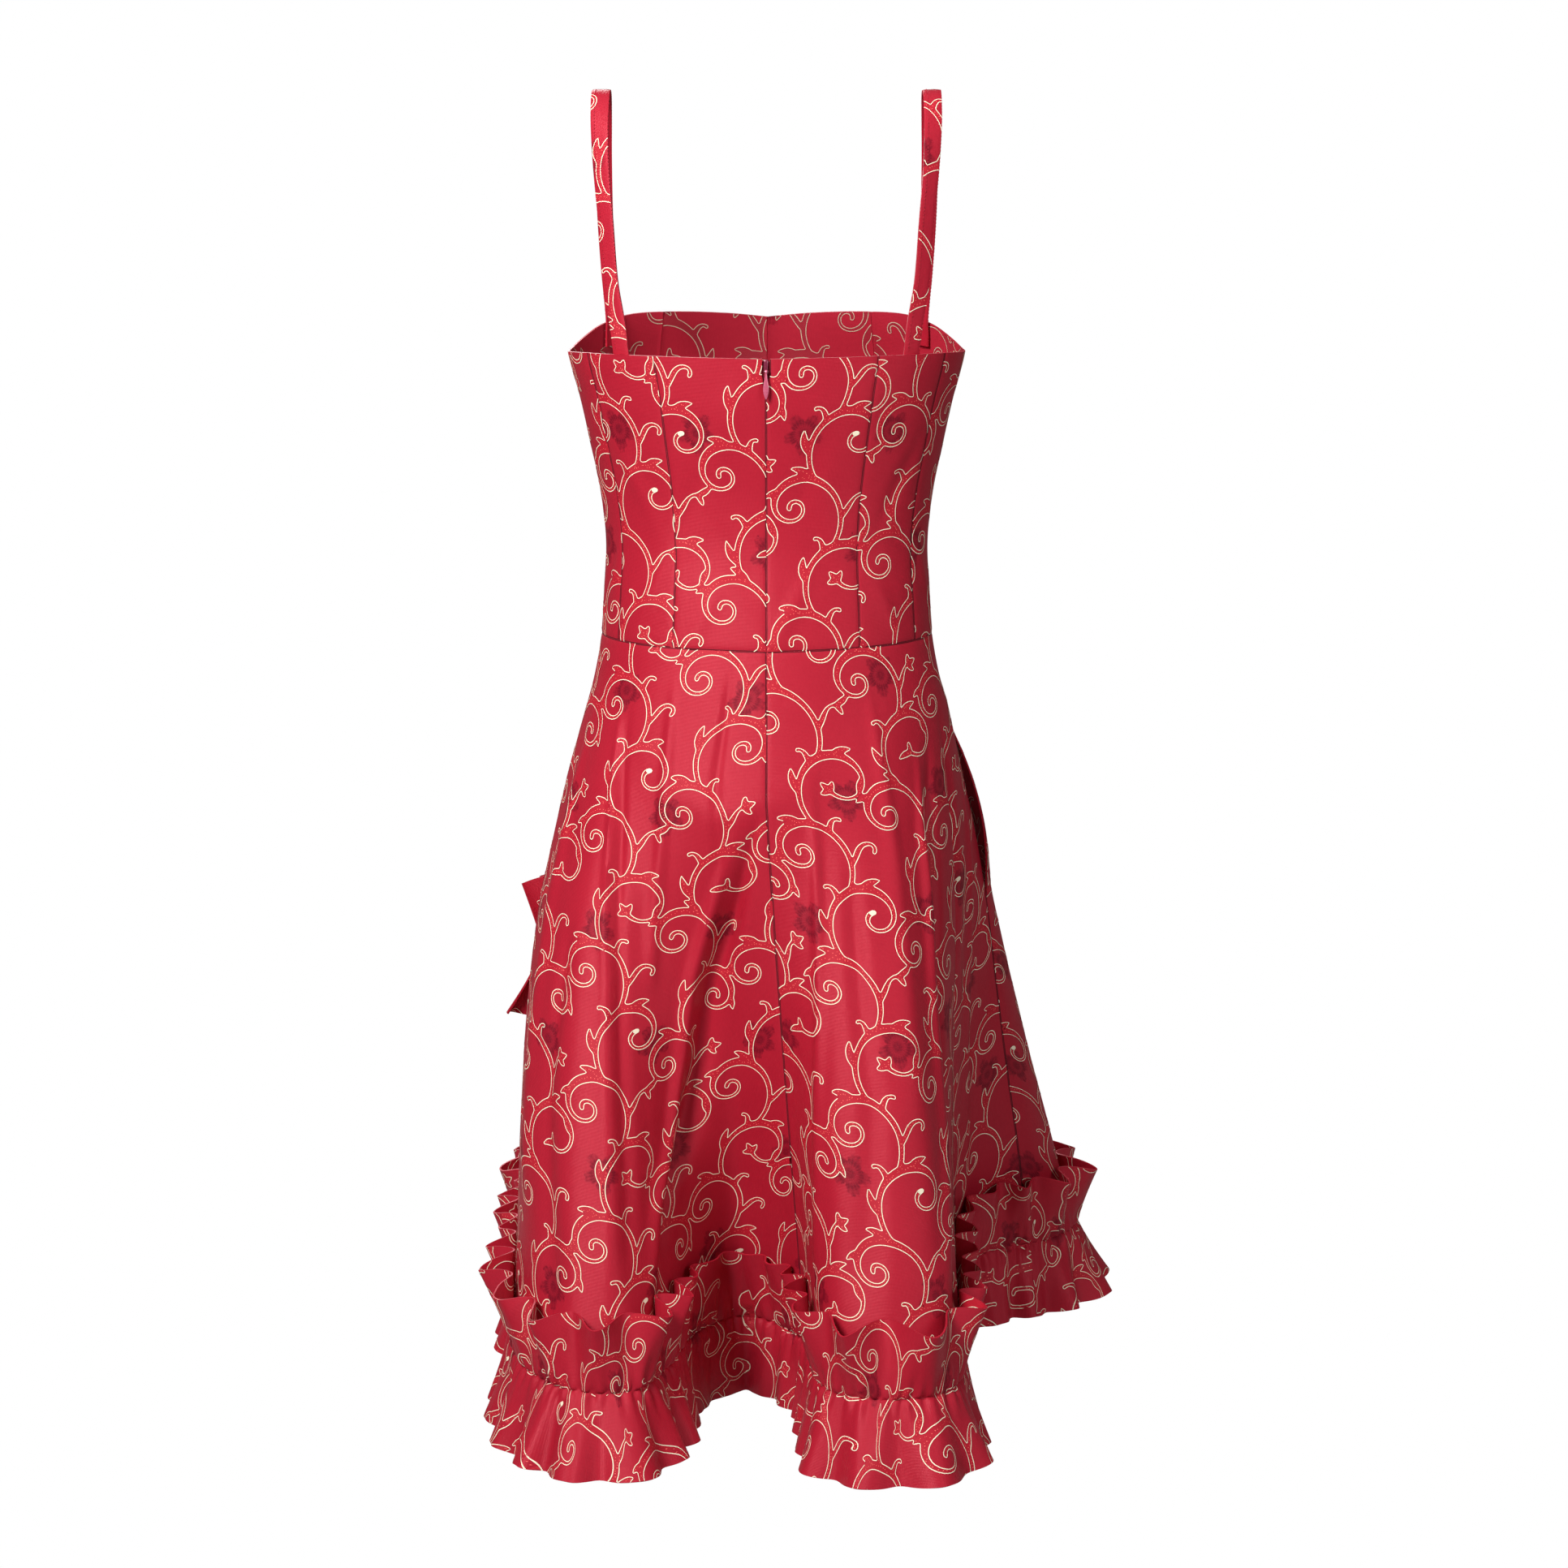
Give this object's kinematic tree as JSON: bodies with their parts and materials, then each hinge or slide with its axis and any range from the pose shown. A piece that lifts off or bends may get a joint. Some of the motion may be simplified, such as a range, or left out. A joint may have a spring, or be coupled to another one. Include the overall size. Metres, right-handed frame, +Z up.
{
  "type": "dirndl dress, worn form without wearer",
  "caption": "Sleeveless knee-length folk dress in scroll-patterned brocade, worn hollow form, with a fitted bodice, flared folded skirt, gathered hem band and narrow shoulder straps.",
  "frame": {"origin": "midway between the undersides of the two shoulder straps where they cross the shoulders, where a wearer holds the dress up", "axes": "+Z up, +X to the wearer's right, -Y to the wearer's back, where the zip is"},
  "size_m": [0.5505, 0.5776, 1.0443],
  "materials": {
    "brocade": "satin-weave brocade, soft sheen, cream outlined scrolls",
    "zip_tape": "matt woven tape",
    "zip_metal": "rose-red enamel, glossy"
  },
  "bodies": {
    "dress": {"bodice_back_left": "brocade", "bodice_back_right": "brocade", "bodice_side_back_left": "brocade", "bodice_side_back_right": "brocade", "bodice_side_front_left": "brocade", "bodice_side_front_right": "brocade", "bodice_front_left": "brocade", "bodice_front_right": "brocade", "skirt_back_left": "brocade", "skirt_back_right": "brocade", "skirt_front": "brocade", "hem_ruffle_back_left": "brocade", "hem_ruffle_back_right": "brocade", "hem_ruffle_front_left": "brocade", "hem_ruffle_front_right": "brocade", "hip_ruffle": "brocade", "strap_left": "brocade", "strap_right": "brocade", "zip_tape": "zip_tape", "zip_slider": "zip_metal"},
    "pull": {"zip_pull": "zip_metal"}
  },
  "joints": [
    {"name": "zip_pull_turn", "type": "hinge", "parent": "dress", "child": "pull", "pos_m": [0, -0.10055, -0.2105], "axis": [-1, 0, 0], "range_deg": [0, 170]}
  ]
}
